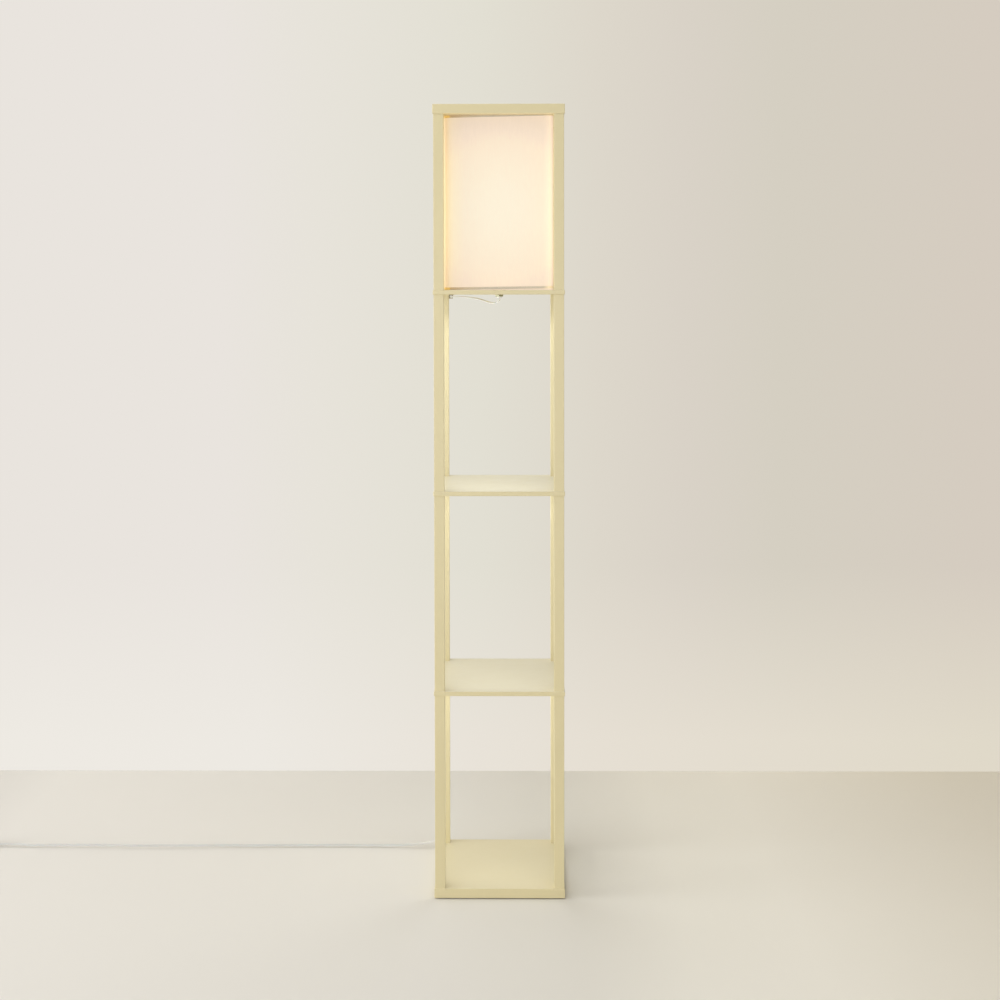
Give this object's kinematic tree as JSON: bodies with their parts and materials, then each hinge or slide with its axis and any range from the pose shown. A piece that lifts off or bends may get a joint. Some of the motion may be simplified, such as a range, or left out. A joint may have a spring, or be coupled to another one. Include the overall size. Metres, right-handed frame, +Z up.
{
  "type": "shelf floor lamp",
  "caption": "Tall square floor lamp with open shelves between four posts and a box cloth shade under its top board.",
  "frame": {"origin": "on the floor, under the centre of the lamp", "axes": "+Z up, -Y towards the front, +X to the right seen from the front"},
  "size_m": [1.3861, 0.2896, 1.577],
  "materials": {
    "black_glass": "fused glass",
    "brass": "bare",
    "button_plastic": "satin moulding",
    "cord_plastic": "soft white insulation",
    "felt": "pressed felt",
    "foam_tape": "closed foam",
    "nickel": "bright nickel",
    "opal": "opal diffuser, lit",
    "painted_wood": "matt cream paint over smooth board",
    "porcelain": "unglazed",
    "shade_cloth": "close plain weave, bonded to a stiff backing, lit from inside",
    "steel_tube": "zinc plated tube",
    "tie_plastic": "soft tie",
    "white_plastic": "fine satin moulding",
    "white_wire": "white powder coat",
    "zinc": "zinc plated"
  },
  "bodies": {
    "stand": {"base_board": "painted_wood", "base_screws": "zinc", "base_washers": "zinc", "clip_tapes": "foam_tape", "cord_bushing": "white_plastic", "cord_clips": "white_plastic", "cord_coil": "cord_plastic", "cord_lamp_run": "cord_plastic", "cord_plug_run": "cord_plastic", "cord_switch_run": "cord_plastic", "cord_tie": "tie_plastic", "foot_pads": "felt", "holder_cap": "white_plastic", "holder_collar": "white_plastic", "holder_contact": "brass", "holder_insulator": "porcelain", "holder_screw_shell": "brass", "joint_studs": "zinc", "lamp_post_front_left": "painted_wood", "lamp_post_front_right": "painted_wood", "lamp_post_rear_left": "painted_wood", "lamp_post_rear_right": "painted_wood", "lamp_shelf": "painted_wood", "lamp_stem": "steel_tube", "lower_post_front_left": "painted_wood", "lower_post_front_right": "painted_wood", "lower_post_rear_left": "painted_wood", "lower_post_rear_right": "painted_wood", "lower_shelf": "painted_wood", "middle_post_front_left": "painted_wood", "middle_post_front_right": "painted_wood", "middle_post_rear_left": "painted_wood", "middle_post_rear_right": "painted_wood", "middle_shelf": "painted_wood", "plug_blades": "nickel", "plug_body": "white_plastic", "seat_washer": "zinc", "shade_fitter": "white_wire", "shade_skin": "shade_cloth", "shade_top_wire": "white_wire", "shelf_nut": "zinc", "stem_lead": "cord_plastic", "stem_spacer": "white_wire", "switch_contact_block": "button_plastic", "switch_lower_shell": "white_plastic", "switch_reliefs": "cord_plastic", "switch_upper_shell": "white_plastic", "threaded_inserts": "brass", "top_board": "painted_wood", "under_washer": "zinc", "upper_post_front_left": "painted_wood", "upper_post_front_right": "painted_wood", "upper_post_rear_left": "painted_wood", "upper_post_rear_right": "painted_wood"},
    "bulb": {"bulb_contact": "brass", "bulb_insulator": "black_glass", "bulb_screw_cap": "nickel", "bulb_housing": "white_plastic", "bulb_globe": "opal"},
    "foot_button": {"switch_button": "button_plastic"}
  },
  "joints": [
    {"name": "bulb_turn", "type": "hinge", "parent": "stand", "child": "bulb", "pos_m": [0, 0, 1.31], "axis": [0, 0, 1], "range_deg": [0, 1080]},
    {"name": "button_press", "type": "slide", "parent": "stand", "child": "foot_button", "axis": [0, 0, -1], "range_m": [0, 0.003], "stiffness_N_per_m": 300, "springref_m": -0.002}
  ]
}
